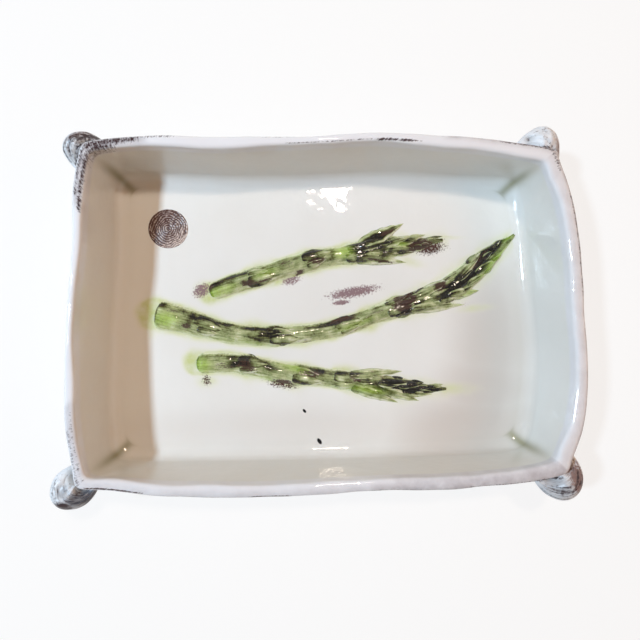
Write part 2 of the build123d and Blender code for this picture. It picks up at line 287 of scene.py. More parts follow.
# Dish body: one skin of glaze over the floor slab, the four walls and the seam coils
dish = {
    "height": 60, "wall": 7, "lipRise": 3.5, "lipPower": 0.75, "flare": 5.5, "tuck": 2.5,
    "cove": 8, "footRound": 2.5, "pinchFade": 6, "columns": (216, 150),
    # for the paint: mm between columns, mm round the rim, floor length and width, reach of a corner's pooled
    # glaze and painted shade
    "columnStep": 1.5, "rimRun": 1080, "floorSize": (290, 200), "poolAndShadeReach": 5,
    # side that each corner is on, and how far it is pinched in
    "corners": {
        "backLeft": ((-1, 1), (8.7, 9.4)), "backRight": ((1, 1), (19.4, 6.7)),
        "frontRight": ((1, -1), (13.3, 12.5)), "frontLeft": ((-1, -1), (6.8, 8.5)),
    },
    # first corner, last corner, outward side, ripple (height, waves, start angle), dip of the rim
    "walls": [
        ("backLeft", "backRight", (0, 1), (3.2, 1.1, 141), 1.5),
        ("backRight", "frontRight", (1, 0), (3.8, 0.8, -150), 2),
        ("frontRight", "frontLeft", (0, -1), (0.9, 0.9, 121), 2),
        ("frontLeft", "backLeft", (-1, 0), (2.8, 0.8, 52), 1.5),
    ],
    # width of the lip and step of its outer edge at shares along each wall, mm
    "lips": [
        [(0, 5.8), (0.1, 6.6), (0.22, 8.2), (0.3, 7.8), (0.42, 5.8), (0.62, 6), (0.76, 8), (1, 8.4)],
        [(0, 8.4), (0.5, 8.6), (1, 8.2)],
        [(0, 8.2), (0.5, 8.2), (0.8, 7.8), (0.92, 7), (1, 5.8)],
        [(0, 6), (0.25, 6.8), (0.4, 5.4), (0.55, 4.6), (0.7, 5.8), (0.86, 7.2), (1, 5.8)],
    ],
    "edges": [
        [(0, 0), (1, 0)],
        [(0, 0), (0.05, -1.6), (0.14, 0), (0.28, 1.5), (0.42, 1.8), (0.57, 0.2), (0.7, 0.2), (0.88, 1.8),
         (0.96, -1.2), (1, 0)],
        [(0, 0), (0.25, -0.4), (0.38, -1.9), (0.5, -0.6), (0.6, 0), (0.82, 0), (0.94, -1.6), (1, 0)],
        [(0, 0), (1, 0)],
    ],
    # brown bristle strokes and mauve washes on the rim: wall, from and to share, mm in from the edge,
    # half width, strength
    "strokes": [
        (0, -0.1, 0.11, 2.4, 3, 0.86), (0, -0.1, 0.06, 4.8, 2.2, 0.84), (0, 0.09, 0.19, 1.2, 1.8, 0.68),
        (0, 0.36, 0.43, 0.6, 0.5, 0.75), (0, 0.41, 0.73, 4.6, 0.6, 0.75), (0, 0.61, 0.71, 4.9, 1.1, 0.95),
        (0, 0.74, 0.88, 0.6, 0.4, 0.75), (0, 0.87, 1.1, 1, 1.2, 0.85),
        (1, 0.02, 0.97, 0.35, 0.8, 0.98), (1, 0.12, 0.46, 1.4, 1.2, 0.75), (1, -0.1, 0.07, 2.5, 2, 0.7),
        (2, 0.04, 0.22, 0.5, 0.9, 0.9), (2, 0.2, 0.42, 0.35, 0.7, 0.95), (2, 0.575, 0.665, 0.7, 0.9, 1),
        (2, 0.87, 0.99, 1.3, 0.8, 1), (2, 0.68, 0.9, 0.35, 0.5, 0.85),
        (3, -0.1, 0.17, 2, 2.2, 0.6), (3, -0.1, 0.22, 4, 1.5, 0.6), (3, 0.8, 1.1, 4.8, 1.8, 0.84),
        (3, 0.84, 1.1, 2, 2, 0.76),
    ],
    "washes": [
        (1, -0.1, 1.1, 0.4, 1.5, 1), (2, -0.1, 0.42, 1.5, 3.6, 0.75), (2, -0.1, 0.36, 4, 5, 0.6),
        (2, -0.1, 0.08, 4, 6, 0.7), (0, 0.76, 1.1, 0.8, 2, 0.7), (0, -0.1, 0.12, 2.5, 3, 0.75),
        (3, 0.82, 1.1, 3.5, 2.8, 0.7), (1, -0.1, 1.1, 4.5, 4, 0.28), (2, 0.38, 1.1, 2, 4, 0.35),
        (3, -0.1, 0.24, 3, 3, 0.45),
    ],
    # ovals painted on the floor, as dabs: dry-brushed brown, pale in smudges and dark in blots, then painted
    # shade, a grey laid where the floor lies in shade at the right, lower right and front, then thin green
    # bled into the white
    "smudges": [(19, 17.8, 24, 4.8, 10, 0.84), (9.5, 10, 8, 2.2, 6, 0.9), (-92, 18.5, 8, 6, 30, 0.82),
                (-27, 26.5, 9, 4.5, 15, 0.75), (-35, -50, 10, 3, -8, 0.6), (100, 9, 9, 2.4, 5, 0.4)],
    "blots": [(75, 52, 15, 7.5, 4, 1.05), (88, 52, 5, 4, 0, 0.6), (97, 13.5, 7, 2.4, 12, 0.7),
              (-33, -50, 15, 4, -8, 0.85), (-88, -46.5, 4, 5, 20, 0.9)],
    # painted shade: grey ovals where the floor and the foot of the wall lie in shade
    "paintedShades": [(124, -22, 34, 62, 0, 0.65), (106, -82, 60, 28, 8, 0.82), (118, -56, 40, 34, 20, 0.74),
              (-40, -84, 120, 18, 0, 0.35)],
    "spills": [(-127.5, -1, 5, 14, 0, 1), (88, -54, 22, 5, 0, 0.7), (84, 59.5, 16, 1.6, -2, 0.8),
               (60, 41, 12, 4, -12, 0.6), (110, 6, 14, 3, 6, 0.6), (-88, -47, 8, 5, 0, 0.7),
               (134, 58, 9, 4, 50, 0.7)],
}


def cornerPoint(name):
    # corner of the rim line: the half size less the corner's pinch, on the corner's side
    side, pinch = (np.array(v, float) for v in dish["corners"][name])
    return side * (halfDish - pinch)


def wallShares():
    # share along its wall of each column, with the wall's number
    counts = [dish["columns"][0] if w[2][1] else dish["columns"][1] for w in dish["walls"]]
    return (np.concatenate([np.arange(n) / n for n in counts]),
            np.concatenate([np.full(n, i) for i, n in enumerate(counts)]))


def rimLoop(offset, shares, wallOf):
    # the rim line moved outwards by offset: half size less the corner pinch (a power of the share),
    # plus a ripple
    x, y = np.zeros(len(shares)), np.zeros(len(shares))
    for number, wall in enumerate(dish["walls"]):
        first, last, out, (height, waves, start) = wall[:4]
        here = np.flatnonzero(wallOf == number)
        if not len(here):
            continue
        t, off = shares[here], offset[here]
        nextOff = offset[(here[-1] + 1) % len(shares)]
        a = cornerPoint(first) + np.array(dish["corners"][first][0]) * off[0]
        b = cornerPoint(last) + np.array(dish["corners"][last][0]) * nextOff
        axis = 0 if out[0] else 1
        pinches, fade = [dish["corners"][name][1][axis] for name in (first, last)], dish["pinchFade"]
        reach = halfDish[axis] - pinches[0] * (1 - t) ** fade - pinches[1] * t ** fade
        reach = reach + height * np.sin(np.pi * t) * np.sin(2 * np.pi * waves * t + np.radians(start)) + off
        if axis:
            x[here], y[here] = a[0] + (b[0] - a[0]) * t, out[1] * reach
        else:
            x[here], y[here] = out[0] * reach, a[1] + (b[1] - a[1]) * t
    return x, y


def alongWall(key, shares, wallOf):
    # a value given at shares along each wall, read off for every column
    return np.select([wallOf == i for i in range(4)], [np.interp(shares, *zip(*wall)) for wall in dish[key]])


def dishProfile(shares, wallOf):
    # rows from the toe of the cove up the inside, over the lip, down the outside and under the foot:
    # offset from the rim line and height for each row and column
    nearCorner = (2 * shares - 1) ** 4
    foot = dish["tuck"] * nearCorner - dish["flare"] * (1 - nearCorner)
    dip = np.array([w[4] for w in dish["walls"]])[wallOf] * np.sin(np.pi * shares)
    lipZ = dish["height"] - dish["lipRise"] - dip
    insideFoot = foot - dish["wall"]
    lip = alongWall("lips", shares, wallOf)
    lean = (-lip - insideFoot) / (lipZ - floorTop)
    rows = []
    for a in np.radians(np.linspace(0, 90, 10)):
        rise = dish["cove"] * (1 - np.cos(a))
        rows.append((insideFoot - dish["cove"] * (1 - np.sin(a)) + lean * rise, floorTop + rise + 0 * shares,
                     "cove"))
    for k in np.linspace(0, 1, 14)[1:-1]:
        z = floorTop + dish["cove"] + (lipZ - floorTop - dish["cove"]) * k
        rows.append((insideFoot + lean * (z - floorTop), z, "inside"))
    for b in np.radians(np.linspace(180, 0, 13)):
        bulge = np.sign(np.cos(b)) * np.abs(np.cos(b)) ** dish["lipPower"]
        rows.append((lip / 2 * (bulge - 1), lipZ + dish["lipRise"] * np.sin(b) ** 0.8, "lip"))
    for k in np.linspace(1, 0, 12)[1:]:
        rows.append((foot * (1 - k), dish["footRound"] + (lipZ - dish["footRound"]) * k, "outside"))
    for a in np.radians(np.linspace(0, 90, 5))[1:]:
        rows.append((foot - dish["footRound"] * (1 - np.cos(a)),
                     dish["footRound"] * (1 - np.sin(a)) + 0 * shares, "foot"))
    return [np.array(column) for column in zip(*rows)]


def wallPaint(x, y, z, kinds, over, shares, wallOf):
    # painted values of the wall: strokes and washes on the lip, Gaussians across it between soft ends, olive
    # glaze pooled in the corners with painted shade in them (a Gaussian of the way to the corner), painted
    # shade carried up from the floor in grey, and bare clay underneath
    s = shares[None, :]
    onLip = (kinds == "lip")[:, None].astype(float)
    lipZone = np.clip(np.concatenate([onLip[1:], onLip[-1:]]) + onLip, 0, 1)
    rimIn = (1 - over) * alongWall("lips", shares, wallOf)  # mm in from the outer edge
    painted = {}
    for key in ("strokes", "washes"):
        painted[key] = np.zeros_like(x)
        for wall, first, last, inward, wide, strength in dish[key]:
            ends = softStep(first - 0.015, first + 0.015, s) * softStep(last + 0.015, last - 0.015, s)
            ends = ends * (wallOf == wall)
            band = strength * lipZone * ends * np.exp(-((rimIn - inward) / wide) ** 2)
            painted[key] = np.maximum(painted[key], band)
    turn = np.arange(len(shares)) / len(shares)
    run = dish["rimRun"] * turn[None, :] + 0.6 * rimIn  # mm round the rim, leaning with the brush
    columns = np.where(wallOf % 2, dish["columns"][1], dish["columns"][0])[None, :]
    # pooled glaze and painted shade: olive, strongest into the corners
    cornerNear = np.exp(-(np.minimum(s, 1 - s) * columns * dish["columnStep"] / dish["poolAndShadeReach"]) ** 2)
    depth = np.interp(z, [floorTop, floorTop + 4, 30, 56], [0.8, 0.95, 0.75, 0.1])
    inside = np.isin(kinds, ["cove", "inside"])[:, None]
    return {"stain": painted["strokes"], "blush": painted["washes"], "lip": lipZone, "run": run,
            "rimIn": rimIn, "poolAndShade": inside * depth * (0.06 + 0.8 * cornerNear),
            "paintedShade": inside * softStep(19, 9, z) * dabs(x, y, dish["paintedShades"]),
            "bare": (kinds == "under")[:, None]}


def floorPaint(x, y, u, v):
    # painted values of the floor: thin green round the spears, a Gaussian of the gap to the spear over a
    # ragged reach, olive glaze pooled along the edges and in the corners with painted shade there, and the
    # dabs
    halo = np.zeros_like(x)
    for spec in spears.values():
        near, away = nearestOnSpine(spec, x, y)
        bud = softStep(0.55, 0.7, spec["share"])[near]
        gap = np.maximum(np.abs(away) - spec["width"][near] - 1.5 * bud, 0)
        ragged = 2.7 + 1.7 * handWave(x, y, 26, 31) + 0.8 * bud
        halo = np.maximum(halo, np.exp(-(gap / np.maximum(ragged, 0.8)) ** 2) * (1 - 0.5 * bud))
    length, width = dish["floorSize"]
    gapX, gapY = np.minimum(u, 1 - u)[..., 0] * length, np.minimum(v, 1 - v)[..., 0] * width
    edgePoolAndShade = 0.06 * np.exp(-(np.minimum(gapX, gapY) / 7) ** 2)
    return {"halo": np.maximum(halo * 0.95, dabs(x, y, dish["spills"])),
            "poolAndShade": edgePoolAndShade + 0.5 * np.exp(-(np.hypot(gapX, gapY) / 6) ** 2),
            "smudge": dabs(x, y, dish["smudges"]), "blot": dabs(x, y, dish["blots"]),
            "paintedShade": dabs(x, y, dish["paintedShades"])}


def wallRows(shares, wallOf):
    # the rows of the profile moved by sums of sines round the dish, then blurred along it, so that corners
    # are rounder towards the floor; over goes from 0 inside the lip to 1 outside it
    turn = np.arange(len(shares))[None, :] / len(shares)
    offsets, heights, kinds = dishProfile(shares, wallOf)
    lipRows = np.flatnonzero(kinds == "lip")
    bulge = np.cos(np.radians(np.linspace(180, 0, len(lipRows))))
    across = (1 + np.sign(bulge) * np.abs(bulge) ** dish["lipPower"]) / 2
    over = np.interp(np.arange(len(kinds)), lipRows, across)[:, None]
    onLip, upright = (kinds == "lip")[:, None], np.isin(kinds, ["inside", "outside"])[:, None]
    wavy = np.interp(heights, [floorTop, 20, 60], [0.1, 0.7, 0.9])
    wavy[kinds == "foot"] = 0.2
    offsets = offsets + wavy * 0.7 * loopWave(turn, heights, 4, 19, 11)
    offsets = offsets + upright * 0.14 * loopWave(turn, 9 * heights, 40, 90, 14)
    offsets = offsets + onLip * (0.5 - over) * 0.6 * loopWave(turn, 0, 9, 40, 12)
    offsets = offsets + np.interp(heights, [20, 57], [0, 1]) * alongWall("edges", shares, wallOf)
    heights = heights + np.interp(heights, [30, 60], [0, 1]) * 0.45 * loopWave(turn, 0, 5, 26, 13)
    loops = [rimLoop(row, shares, wallOf) for row in offsets]
    # columns blurred at the rows of the cove, inside, lip, outside and foot
    blur = np.interp(np.arange(len(kinds)), [0, 9, 21, 22, 34, 35], [8.0, 8.0, 3.2, 2.2, 2.2, 2.6])
    x, y = (softenLoop(np.array(rows), blur) for rows in zip(*loops))
    return x, y, softenLoop(heights, blur * 0.5), kinds, over


def floorPatch(loopX, loopY):
    # Coons patch between the four sides of a loop, with low waves that fade out to its edges and a few short
    # ones near the back wall
    nx, ny = dish["columns"]
    starts = [0, nx, nx + ny, 2 * nx + ny]
    edge = np.stack([loopX, loopY], axis=1)
    edge = np.concatenate([edge, edge[:1]])
    back, right = edge[starts[0]:starts[1] + 1], edge[starts[1]:starts[2] + 1]
    front, left = edge[starts[2]:starts[3] + 1][::-1], edge[starts[3]:][::-1]
    u, v = np.linspace(0, 1, nx + 1)[None, :, None], np.linspace(0, 1, ny + 1)[:, None, None]
    plan = ((1 - v) * back[None] + v * front[None] + (1 - u) * left[:, None] + u * right[:, None]
            - (1 - u) * (1 - v) * back[0] - u * (1 - v) * back[-1]
            - (1 - u) * v * front[0] - u * v * front[-1])
    x, y = plan[..., 0], plan[..., 1]
    rimFade = np.minimum(np.minimum(u, 1 - u), np.minimum(v, 1 - v))[..., 0]
    nearBack = np.exp(-((x - 12) / 32) ** 2 - ((y - 80) / 12) ** 2)
    low = 0.22 * handWave(x, y, 70, 21) + 0.02 * handWave(x, y, 12, 22)
    z = floorTop + softStep(0, 0.12, rimFade) * low + 0.10 * handWave(x, y, 16, 23) * nearBack
    z[0, :], z[-1, :], z[:, 0], z[:, -1] = (floorTop,) * 4
    return x, y, z, u, v


def dishBody():
    # the floor's grid, the rows of the wall, and rings shrunk by steps to a pole underneath, joined by their
    # vertex numbers in that order
    shares, wallOf = wallShares()
    x, y, z, kinds, over = wallRows(shares, wallOf)
    floorX, floorY, floorZ, u, v = floorPatch(x[0], y[0])
    shrink = [0.985, 0.94, 0.8, 0.5, 0.2]
    x, y = (np.concatenate([p[1:]] + [p[-1:] * k for k in shrink]) for p in (x, y))
    z = np.concatenate([z[1:]] + [z[-1:]] * len(shrink))
    kinds = np.concatenate([kinds[1:], np.array(["under"] * len(shrink))])
    over = np.concatenate([over[1:], np.ones((len(shrink), 1))])
    grid = np.arange(floorX.size).reshape(floorX.shape)
    ring = np.concatenate([grid[0, :-1], grid[:-1, -1], grid[-1, :0:-1], grid[:0:-1, 0]])
    strip = np.concatenate([ring[None], grid.size + np.arange(x.size).reshape(x.shape)])
    strip = np.concatenate([strip, strip[:, :1]], axis=1)
    pole = np.full(len(shares), grid.size + x.size)
    faces = gridFaces(grid[:, ::-1]).tolist() + gridFaces(strip).tolist()
    faces += np.stack([strip[-1, :-1], strip[-1, 1:], pole], axis=-1).tolist()
    points = np.concatenate([np.stack([floorX, floorY, floorZ], axis=-1).reshape(-1, 3),
                             np.stack([x, y, z], axis=-1).reshape(-1, 3), [[0, 0, 0]]])
    onFloor = floorPaint(floorX, floorY, u, v)
    onWall = wallPaint(x, y, z, kinds, over, shares, wallOf)
    values = {}
    for key in {**onFloor, **onWall}:
        floorValue, wallValue = onFloor.get(key, 0) + 0 * floorX, onWall.get(key, 0) + 0 * x
        values[key] = np.concatenate([floorValue.ravel(), wallValue.ravel(), [float(key == "bare")]])
    return points, faces, values


# Ears: belly radius, its place out from the corner, tails along the long and the short wall, lift of the
# middle, grooves (angle round the roll, drift, width, in degrees), their depth in mm and share of wash,
# dimple (x, y, radius, depth), and dark, brown and slate dabs, the slate partly painted shade underneath
ears = {
    "backLeftEar": {
        "node": "back_left_ear", "corner": "backLeft", "belly": 7.1, "reach": (0.7, 4.2),
        "tails": (9.2, 14), "lift": 3, "depth": 0.6, "seed": 41, "wash": 1,
        "grooves": [(-14, 20, 8), (10, 24, 8), (32, 18, 8), (54, 20, 9), (76, 16, 8), (98, 20, 9),
                    (120, 14, 9)],
        "inkAndShade": [(-156, 110, 11, 4.6, 12, 1.15), (-152, 111, 7, 2.4, 5, 1.2), (-161, 99, 2.6, 9, -15, 0.9),
                (-167, 106, 2, 6, 20, 0.8)],
        "rust": [(-161, 112, 9, 4, 25, 0.55)], "slateAndShade": [(-166, 103, 4, 8, 0, 0.3)],
    },
    "backRightEar": {
        "node": "back_right_ear", "corner": "backRight", "belly": 8.9, "reach": (3.3, -1.6),
        "tails": (22.4, 8), "lift": 1.5, "depth": 0.4, "seed": 42, "wash": 0.45,
        "grooves": [(100, 10, 8), (78, 12, 9), (52, 10, 9)], "dimple": (131, 117.5, 2.6, 1),
        "inkAndShade": [(131, 117, 2.4, 1.6, 20, 0.7), (140, 110.5, 12, 1.4, -4, 0.9)],
        "rust": [(150, 115, 3, 9, 10, 0.5)], "slateAndShade": [(131, 117, 3, 3, 0, 0.5)],
    },
    "frontRightEar": {
        "node": "front_right_ear", "corner": "frontRight", "belly": 9.8, "reach": (8.3, 1.5),
        "tails": (16.9, 11), "lift": 1, "depth": 0.7, "seed": 43, "wash": 0.9,
        "grooves": [(92, 14, 8), (70, 18, 8), (46, 16, 8), (16, 10, 9)],
        "inkAndShade": [(144.5, -108.6, 8, 1.1, 10, 1.1), (150, -112.8, 6, 0.9, 2, 1.1),
                (150, -118.2, 4, 0.9, -7, 1), (155.8, -117, 2.8, 0.9, 37, 1),
                (163, -110.8, 2.2, 2.6, 0, 0.9), (158.9, -102.1, 2.5, 1.6, 0, 0.7)],
        "rust": [(162, -109, 7, 13, 15, 0.95)], "slateAndShade": [(149, -114, 13, 7, -6, 0.62)],
    },
    "frontLeftEar": {
        "node": "front_left_ear", "corner": "frontLeft", "belly": 9.5, "reach": (1.4, 8),
        "tails": (8, 10.6), "lift": 1.5, "depth": 0.4, "seed": 44, "wash": 0.5,
        "grooves": [(60, 20, 8), (100, 12, 9)], "dimple": (-168.5, -109.5, 4.8, 3.4),
        "inkAndShade": [(-168.4, -119.2, 5.8, 3.8, -8, 1.7), (-173, -112, 4, 10, 10, 0.6),
                (-161, -113, 2, 8, -20, 0.6)],
        "rust": [(-167.5, -119.2, 5.5, 2.6, -10, 0.8)],
        # the first slate dab is painted shade, grey on the roll's underside to the lower right
        "slateAndShade": [(-156.5, -114.5, 11, 6, 14, 1.4), (-168.5, -109.5, 4, 4, 0, 0.8),
                  (-163, -98, 4, 6, 0, 0.5)],
    },
}


def earArc(spec):
    # circle through the ear's two ends on the rim line and its belly: centre, radius, first angle and span
    corner = spec["corner"]
    ends = []
    for number, (first, last, out) in enumerate(wall[:3] for wall in dish["walls"]):
        if corner in (first, last):
            share = spec["tails"][0 if out[1] else 1] / np.linalg.norm(cornerPoint(last) - cornerPoint(first))
            x, y = rimLoop(np.zeros(3), np.array([0.0, share, 1 - share]), np.full(3, number))
            end = 1 if corner == first else 2
            ends.append(np.array([x[end], y[end]]))
    belly = cornerPoint(corner) + np.array(dish["corners"][corner][0]) * np.array(spec["reach"])
    toBelly, toEnd = belly - ends[0], ends[1] - ends[0]
    cross = 2 * (toBelly[0] * toEnd[1] - toBelly[1] * toEnd[0])
    across = toEnd * (toBelly @ toBelly) - toBelly * (toEnd @ toEnd)
    centre = ends[0] + np.array([across[1], -across[0]]) / cross
    angles = [np.arctan2(*(p - centre)[::-1]) for p in (ends[0], belly, ends[1])]
    forward = (angles[1] - angles[0]) % (2 * np.pi) < (angles[2] - angles[0]) % (2 * np.pi)
    span = (angles[2] - angles[0]) % (2 * np.pi) if forward else -((angles[0] - angles[2]) % (2 * np.pi))
    return centre, np.linalg.norm(ends[0] - centre), angles[0], span


def rollEar(spec):
    # a roll bent on the ear's arc: radius tail + (belly - tail) * sin(pi s)^2.6, lumpy, scored along the roll
    # by grooves, each a Gaussian of the angle round the section, with a thumbed dimple on top
    tail, drop = 2.5, 13.0  # radius of the ends, and how far under the rim's height the roll lies
    belly = spec["belly"]
    centre, radius, start, span = earArc(spec)
    s = np.linspace(0, 1, 121)[:, None]
    around = np.linspace(0, 2 * np.pi, 97)[None, :-1]  # 0 is outwards, a quarter turn is up
    swing = start + span * s
    thick = tail + (belly - tail) * np.sin(np.pi * s) ** 2.6
    groove = np.zeros(np.broadcast(s, around).shape)
    for angle, drift, wide in spec["grooves"]:
        gap = (around - np.radians(angle + drift * np.sin(3.0 * s + angle)) + np.pi) % (2 * np.pi) - np.pi
        groove = np.maximum(groove, np.exp(-(gap / np.radians(wide)) ** 2))
    groove = groove * softStep(0.0, 0.3, s) * softStep(1.0, 0.7, s)
    lump = handWave(s * 60 + belly * np.cos(around), belly * np.sin(around), 13, spec["seed"])
    ridge = thick * (1 + 0.07 * lump * np.sin(np.pi * s)) - spec["depth"] * groove
    x = centre[0] + (radius + ridge * np.cos(around)) * np.cos(swing)
    y = centre[1] + (radius + ridge * np.cos(around)) * np.sin(swing)
    z = dish["height"] - drop + spec["lift"] * np.sin(np.pi * s) + ridge * np.sin(around)
    if "dimple" in spec:
        px, py, wide, deep = spec["dimple"]
        away = ((x - px) ** 2 + (y - py) ** 2) / wide ** 2
        hollow = np.exp(-away) * softStep(0, 0.5, np.sin(around))
        z = z - deep * hollow
        groove = np.maximum(groove, 0.55 * hollow)
    values = {key: dabs(x, y, spec[key]) for key in ("rust", "slateAndShade")}
    values["groove"] = np.maximum(groove * spec["wash"], dabs(x, y, spec["inkAndShade"]))
    values["along"], values["aside"] = abs(span) * radius * s, belly * around
    return closedTube(x, y, z, values)


def stemTube(spec):
    # stem along the spine: height rise * w (1 - q^2)^1.1 across it, with fine lengthwise ribs, swollen at
    # the nodes, its cut base rounded over 6 mm and its underside just in the floor
    share = spec["share"][:, None]
    mm = share * spec["length"]
    w = spec["width"][:, None] * 1.06
    for bract in spec["bracts"]:
        w = w + 0.8 * np.exp(-((mm - (bract[0] * spec["length"] + 4)) / 5) ** 2)
    cut = np.sqrt(np.clip(1 - np.clip((6 - mm) / 6, 0, 1) ** 2, 0.04, 1))
    around = np.linspace(0, 2 * np.pi, 65)[None, :-1]
    q, up = np.cos(around), np.maximum(np.sin(around), 0)
    uneven = 0.05 * handWave(mm, 12 * np.sign(q), 17, len(spec["spine"])) * softStep(0, 8, mm)
    across = w * (0.25 + 0.75 * cut) * q * (1 + uneven)
    rib = 0.10 * np.cos(17 * around + 0.05 * mm) + 0.32 * handWave(mm * 0.35, around * 9, 5, 51)
    z = floorTop + spearRise * w * cut * up ** 2.2 + rib * up * cut
    z = z - 0.7 * np.maximum(-np.sin(around), 0) + 0.25 * handWave(mm, q * 4, 26, 55) * up
    x = spec["line"][:, :1] + spec["left"][:, :1] * across
    y = spec["line"][:, 1:] + spec["left"][:, 1:] * across
    # painted shade darkens the far edge and painted light pales the near one; both edges feather to pale
    farEdgeShade = 0.20 + 0.22 * handWave(mm, 0 * q, 42, 50 + len(spec["spine"]))
    tone = 0.58 - farEdgeShade * softStep(0.3, 0.85, q) + 0.24 * softStep(-0.3, -0.9, q)
    tone = tone + 0.12 * handWave(x, y, 18, 52)
    tone = tone + (0.05 * softStep(0.5, 0.2, share) - 0.2 * softStep(0.58, 0.75, share))
    tone = tone - 0.5 * softStep(2.6, 0.8, mm)
    thin = np.maximum(softStep(0.45, 1.0, np.abs(q)), 0.3 * softStep(5, 2, mm))
    paint = spearPaint(spec, x, y, tone, thin, mm, across)
    return closedTube(x, y, z, paint)


def spearPaint(spec, x, y, tone, thin, along, aside, wiped=0.0):
    # painted values: tone of green from dark to pale, less the dark dabs (some of them painted shade), brown,
    # yellow-green, thinness of the paint towards the edges, and a grain that runs along the plant (mm)
    inkAndShade, umber = dabs(x, y, spec["inkAndShade"]), dabs(x, y, spec["umber"])
    return {"tone": tone - 0.75 * inkAndShade * (1 - wiped), "umber": umber * (1 - 0.5 * wiped),
            "lime": dabs(x, y, spec["lime"]), "thin": thin - 0.5 * np.maximum(inkAndShade, umber),
            "along": along, "aside": aside}


# Leaves on the stem, a scale leaf and the smaller one against it: sizes in mm, shade of green
leaves = {
    "scale": {"length": 22.0, "halfWidth": 5.3, "thick": 1.1, "shade": 0.5},
    "small": {"length": 15.0, "halfWidth": 3.0, "thick": 0.9, "shade": 0.42},
}


def leafTube(spec, seed, share, sideways, turn, length, halfWidth, thick, shade, bend=0.0):
    # pointed lens lying on what is under it: half width sin(pi (0.16 + 0.84 u^0.8)), height
    # thick (1 - v^2)^0.9, a midrib down the middle, its line curving sideways by bend u^2
    number = int(round(share * (len(spec["line"]) - 1)))
    c, s = np.cos(np.radians(turn)), np.sin(np.radians(turn))
    ahead, left = spec["along"][number], spec["left"][number]
    heading, across = ahead * c + left * s, left * c - ahead * s
    start = spec["line"][number] + left * sideways
    u = np.linspace(0, 1, 31)[:, None]
    v = np.concatenate([np.linspace(-1, 1, 13), np.linspace(1, -1, 9)[1:-1]])[None, :]
    below = np.concatenate([np.zeros(13, bool), np.ones(7, bool)])[None, :]
    w = halfWidth * np.sin(np.pi * (0.16 + 0.84 * u ** 0.8)) + 0.12
    w = w * (1 + 0.10 * handWave(u * length, 5 * np.sign(v), 9, seed))
    x = start[0] + heading[0] * length * u + across[0] * (v * w + bend * u ** 2)
    y = start[1] + heading[1] * length * u + across[1] * (v * w + bend * u ** 2)
    bed = stemTop(spec, x, y)
    swell = thick * np.sin(np.pi * (0.22 + 0.74 * u))
    lens = swell * (1 - v ** 2) ** 0.9 + 0.3 * swell * np.exp(-(v / 0.16) ** 2)
    vein = 0.12 * np.cos(v * 11) * np.sin(np.pi * u)
    z = floorTop + np.where(below, 0.5 * bed - 0.5, bed + lens + vein + 0.05)
    border = softStep(0.3, 0.75, np.abs(v))
    tone = shade + 0.20 * softStep(0.1, 0.8, u) + 0.16 * handWave(x, y, 9, 53)
    # the glaze runs dark to the edge of a pale leaf, and off the edge of a dark one
    tone = tone + (0.45 if shade < 0.45 else -0.28) * border
    tone = tone - 0.25 * softStep(0.25, 0.0, u) + 0.14 * np.exp(-(v / 0.2) ** 2)
    # painted shade: darker towards the far side of the leaf
    tone = tone - 0.14 * softStep(0.0, 0.8, v)
    tone = np.where(below, 0.15, tone)
    thin = np.maximum(0.6 * softStep(0.6, 1.0, np.abs(v)), 0.8 * softStep(0.7, 1.0, u))
    paint = spearPaint(spec, x, y, tone, thin, u * length + 37.0 * seed, v * w, border * (shade < 0.45))
    return closedTube(x, y, z, paint)


def bractParts(spec, seed):
    # a scale leaf at each node and a smaller one against it on the other side
    parts = []
    for k, (share, sideways) in enumerate(spec["bracts"]):
        flip, first = -np.sign(sideways), seed + 2 * k
        parts.append(leafTube(spec, first, share, sideways, 0, **leaves["scale"]))
        parts.append(leafTube(spec, first + 1, share + 0.012, flip * 3.6, -flip * 6, **leaves["small"]))
    return parts


def budParts(spec, seed):
    # the long leaves fanned round the bud, the upper ones shorter, then short scales that overlap up the bud
    # in turn, left and right, smaller towards the tip
    parts = []
    for k, (share, sideways, turn, length, halfWidth) in enumerate(spec["bud"]):
        short = 1.0 if k < 2 else 0.8
        parts.append(leafTube(spec, seed + k, share, sideways, turn, length * short, halfWidth * 0.9,
                              thick=1.6, shade=0.42, bend=0.06 * turn))
    rng = np.random.default_rng(seed)
    for k in range(21):
        share = 0.60 + 0.0168 * k
        width = np.interp(share, spec["share"], spec["width"])
        side = (1, -1, 0.3, -0.8, 0.7)[k % 5]
        length = rng.uniform(13, 22) * (1.05 - 0.025 * k)
        turn = side * rng.uniform(0, 9)
        halfWidth = rng.uniform(2.2, 3.7) * (1.1 - 0.025 * k)
        shade = rng.uniform(0.05, 0.6)
        parts.append(leafTube(spec, seed + 20 + k, share, side * 0.75 * width, turn, length, halfWidth,
                              thick=1.2, shade=shade))
    return parts


# Stamp: a plain roundel of rings pressed into the floor
stamp = {"centre": np.array([-0.698, 0.544]) * halfDish, "diameter": 29.0, "rings": 9, "relief": 0.16}


